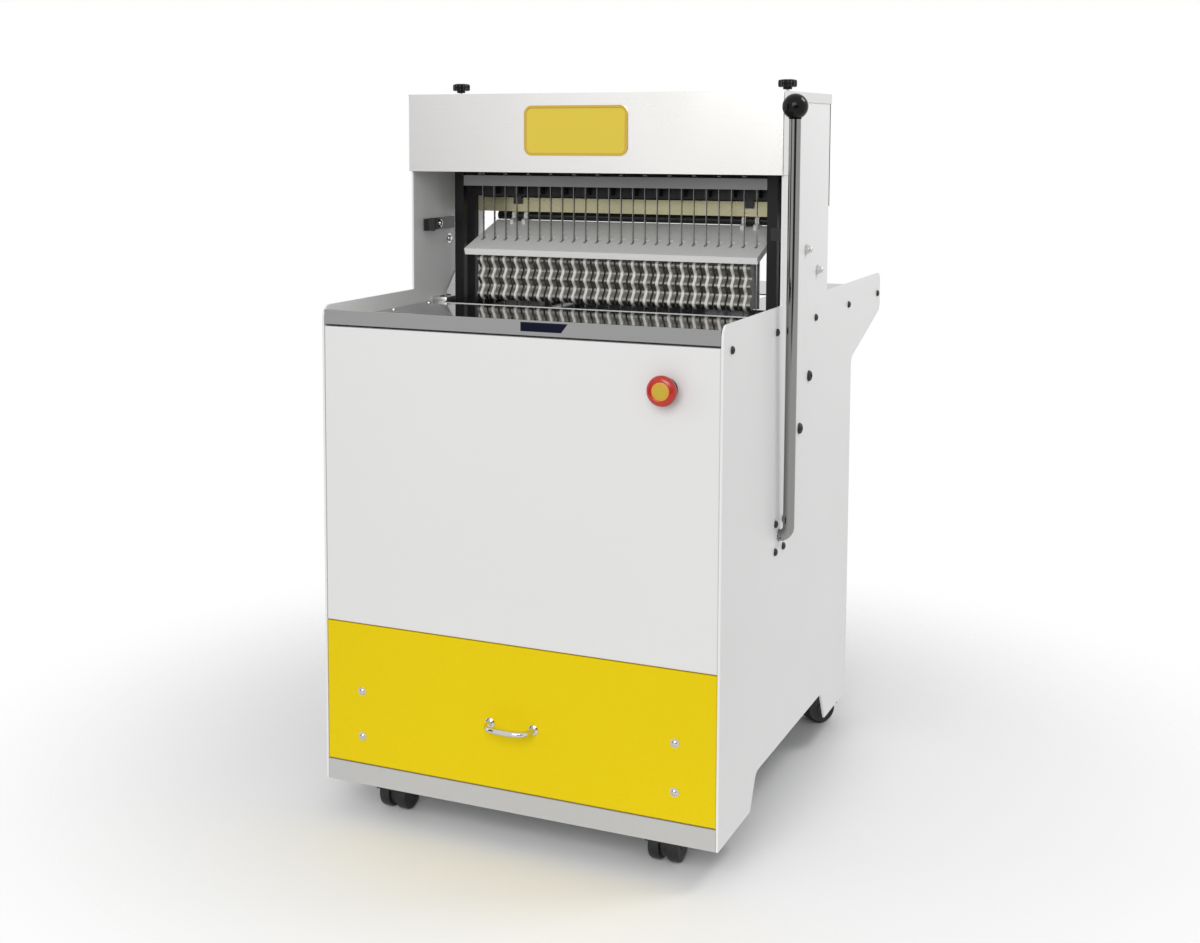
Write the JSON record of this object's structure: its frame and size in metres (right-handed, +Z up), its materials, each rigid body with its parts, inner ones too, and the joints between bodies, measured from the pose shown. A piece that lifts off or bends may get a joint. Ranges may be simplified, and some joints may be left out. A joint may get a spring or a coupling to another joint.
{
  "type": "bread slicer",
  "caption": "Floor-standing bread slicer: cabinet on castors, two sawing blade frames, and a long hand lever that feeds the loaf; crumb drawer below.",
  "frame": {"origin": "on the floor, under the middle of the outer box", "axes": "+X to the right seen from the outfeed side, +Y towards the infeed table, +Z up"},
  "size_m": [0.6274, 0.894, 1.0365],
  "materials": {
    "panel_paint": "smooth warm white powder coat",
    "front_paint": "smooth warm white powder coat",
    "drawer_paint": "yellow coat with a fine sparkle",
    "kick_paint": "smooth light grey powder coat",
    "stainless": "brushed stainless sheet",
    "galvanised": "plain galvanised steel",
    "black_steel": "black oxide",
    "blade_steel": "ground blade steel",
    "machined_steel": "machined",
    "finger_steel": "pressed sheet",
    "polished_steel": "polished",
    "black_gloss": "glossy moulding",
    "red_plastic": "glossy moulding",
    "yellow_zinc": "yellow zinc plate",
    "white_plastic": "machined sheet",
    "cast_iron": "as cast, bored",
    "motor_paint": "enamel",
    "belt_rubber": "moulded",
    "castor_black": "moulded",
    "wheel_rubber": "moulded tread"
  },
  "bodies": {
    "root": {"side_panel_left": "panel_paint", "side_panel_right": "panel_paint", "base_frame": "galvanised", "kick_plate": "kick_paint", "front_panel": "front_paint", "rear_panel": "panel_paint", "cable_gland": "black_gloss", "front_table": "stainless", "rear_table": "stainless", "hood_front": "stainless", "hood_top": "stainless", "tower_rear_cover": "black_steel", "badge_plate": "drawer_paint", "frame_guides": "white_plastic", "cross_beam": "galvanised", "throat_brackets": "black_steel", "crank_bearings": "cast_iron", "motor_body": "motor_paint", "drive_belt": "belt_rubber", "lever_bearings": "cast_iron", "carriage_rods": "galvanised", "pivot_bar": "yellow_zinc", "flap_hangers": "black_steel", "drawer_runners": "galvanised", "stop_base": "black_gloss", "panel_screws": "black_steel", "panel_bolts": "stainless"},
    "lever": {"lever_rod": "polished_steel", "lever_ball": "black_gloss", "rocker_shaft": "machined_steel", "arm_rollers": "machined_steel"},
    "carriage": {"carriage_links": "machined_steel", "carriage_bar": "machined_steel", "pusher_back_plate": "machined_steel", "pusher_fingers": "finger_steel"},
    "front_frame": {"front_blade_frame": "black_steel", "front_blades": "blade_steel"},
    "rear_frame": {"rear_blade_frame": "black_steel", "rear_blades": "blade_steel"},
    "crank": {"crankshaft": "machined_steel", "crank_pulley": "cast_iron"},
    "front_rods": {"front_connecting_rods": "machined_steel"},
    "rear_rods": {"rear_connecting_rods": "machined_steel"},
    "motor_rotor": {"motor_pulley": "cast_iron"},
    "flap": {"hold_down_flap": "white_plastic"},
    "drawer": {"drawer_front": "drawer_paint", "drawer_tray": "stainless", "drawer_handle": "polished_steel", "drawer_screws": "polished_steel"},
    "stop": {"stop_button": "red_plastic"},
    "knob_left": {"star_knob_left": "black_gloss"},
    "knob_right": {"star_knob_right": "black_gloss"},
    "castor_front_left": {"castor_front_left": "castor_black"},
    "castor_wheels_front_left": {"castor_wheels_front_left": "wheel_rubber"},
    "castor_front_right": {"castor_front_right": "castor_black"},
    "castor_wheels_front_right": {"castor_wheels_front_right": "wheel_rubber"},
    "castor_rear_left": {"castor_rear_left": "castor_black"},
    "castor_wheels_rear_left": {"castor_wheels_rear_left": "wheel_rubber"},
    "castor_rear_right": {"castor_rear_right": "castor_black"},
    "castor_wheels_rear_right": {"castor_wheels_rear_right": "wheel_rubber"}
  },
  "joints": [
    {"name": "lever_hinge", "type": "hinge", "parent": "root", "child": "lever", "pos_m": [-0.01475, -0.157, 0.401], "axis": [-1, 0, 0], "range_deg": [0, 48]},
    {"name": "pusher_slide", "type": "slide", "parent": "root", "child": "carriage", "axis": [0, 1, 0], "range_m": [0, 0.22126]},
    {"name": "front_frame_slide", "type": "slide", "parent": "root", "child": "front_frame", "axis": [0, 0, 1], "range_m": [-0.02, 0.02]},
    {"name": "rear_frame_slide", "type": "slide", "parent": "root", "child": "rear_frame", "axis": [0, 0, 1], "range_m": [-0.02, 0.02]},
    {"name": "crank_spin", "type": "hinge", "parent": "root", "child": "crank", "pos_m": [-0.01475, -0.051, 0.33], "axis": [1, 0, 0], "continuous": true},
    {"name": "front_rod_swing", "type": "hinge", "parent": "crank", "child": "front_rods", "pos_m": [-0.01475, -0.071, 0.33], "axis": [1, 0, 0], "continuous": true},
    {"name": "rear_rod_swing", "type": "hinge", "parent": "crank", "child": "rear_rods", "pos_m": [-0.01475, -0.031, 0.33], "axis": [1, 0, 0], "continuous": true},
    {"name": "motor_spin", "type": "hinge", "parent": "root", "child": "motor_rotor", "pos_m": [-0.27475, 0.143, 0.172], "axis": [1, 0, 0], "continuous": true},
    {"name": "flap_hinge", "type": "hinge", "parent": "root", "child": "flap", "pos_m": [-0.01475, 0.025, 0.829], "axis": [-1, 0, 0], "range_deg": [0, 20]},
    {"name": "drawer_slide", "type": "slide", "parent": "root", "child": "drawer", "axis": [0, -1, 0], "range_m": [0, 0.35]},
    {"name": "stop_push", "type": "slide", "parent": "root", "child": "stop", "axis": [0, 1, 0], "range_m": [0, 0.004]},
    {"name": "knob_left_turn", "type": "hinge", "parent": "root", "child": "knob_left", "pos_m": [-0.27575, -0.047, 1.0365], "axis": [0, 0, 1], "continuous": true},
    {"name": "knob_right_turn", "type": "hinge", "parent": "root", "child": "knob_right", "pos_m": [0.24625, -0.047, 1.0365], "axis": [0, 0, 1], "continuous": true},
    {"name": "castor_front_left_swivel", "type": "hinge", "parent": "root", "child": "castor_front_left", "pos_m": [-0.21775, -0.342, 0.025], "axis": [0, 0, 1], "continuous": true},
    {"name": "castor_wheels_front_left_roll", "type": "hinge", "parent": "castor_front_left", "child": "castor_wheels_front_left", "pos_m": [-0.21775, -0.36, 0.025], "axis": [1, 0, 0], "continuous": true},
    {"name": "castor_front_right_swivel", "type": "hinge", "parent": "root", "child": "castor_front_right", "pos_m": [0.18825, -0.342, 0.025], "axis": [0, 0, 1], "continuous": true},
    {"name": "castor_wheels_front_right_roll", "type": "hinge", "parent": "castor_front_right", "child": "castor_wheels_front_right", "pos_m": [0.18825, -0.36, 0.025], "axis": [1, 0, 0], "continuous": true},
    {"name": "castor_rear_left_swivel", "type": "hinge", "parent": "root", "child": "castor_rear_left", "pos_m": [-0.24675, 0.219, 0.025], "axis": [0, 0, 1], "continuous": true},
    {"name": "castor_wheels_rear_left_roll", "type": "hinge", "parent": "castor_rear_left", "child": "castor_wheels_rear_left", "pos_m": [-0.25948, 0.23173, 0.025], "axis": [-0.7071, -0.7071, 0], "continuous": true},
    {"name": "castor_rear_right_swivel", "type": "hinge", "parent": "root", "child": "castor_rear_right", "pos_m": [0.21725, 0.219, 0.025], "axis": [0, 0, 1], "continuous": true},
    {"name": "castor_wheels_rear_right_roll", "type": "hinge", "parent": "castor_rear_right", "child": "castor_wheels_rear_right", "pos_m": [0.22998, 0.23173, 0.025], "axis": [-0.7071, 0.7071, 0], "continuous": true}
  ],
  "couplings": [
    {"joint": "pusher_slide", "follows": "lever_hinge", "m_per_rad": 0.26411},
    {"joint": "rear_frame_slide", "follows": "front_frame_slide", "ratio": -1},
    {"joint": "front_rod_swing", "follows": "crank_spin", "ratio": -1},
    {"joint": "rear_rod_swing", "follows": "crank_spin", "ratio": -1},
    {"joint": "motor_spin", "follows": "crank_spin", "ratio": 2.1875}
  ]
}
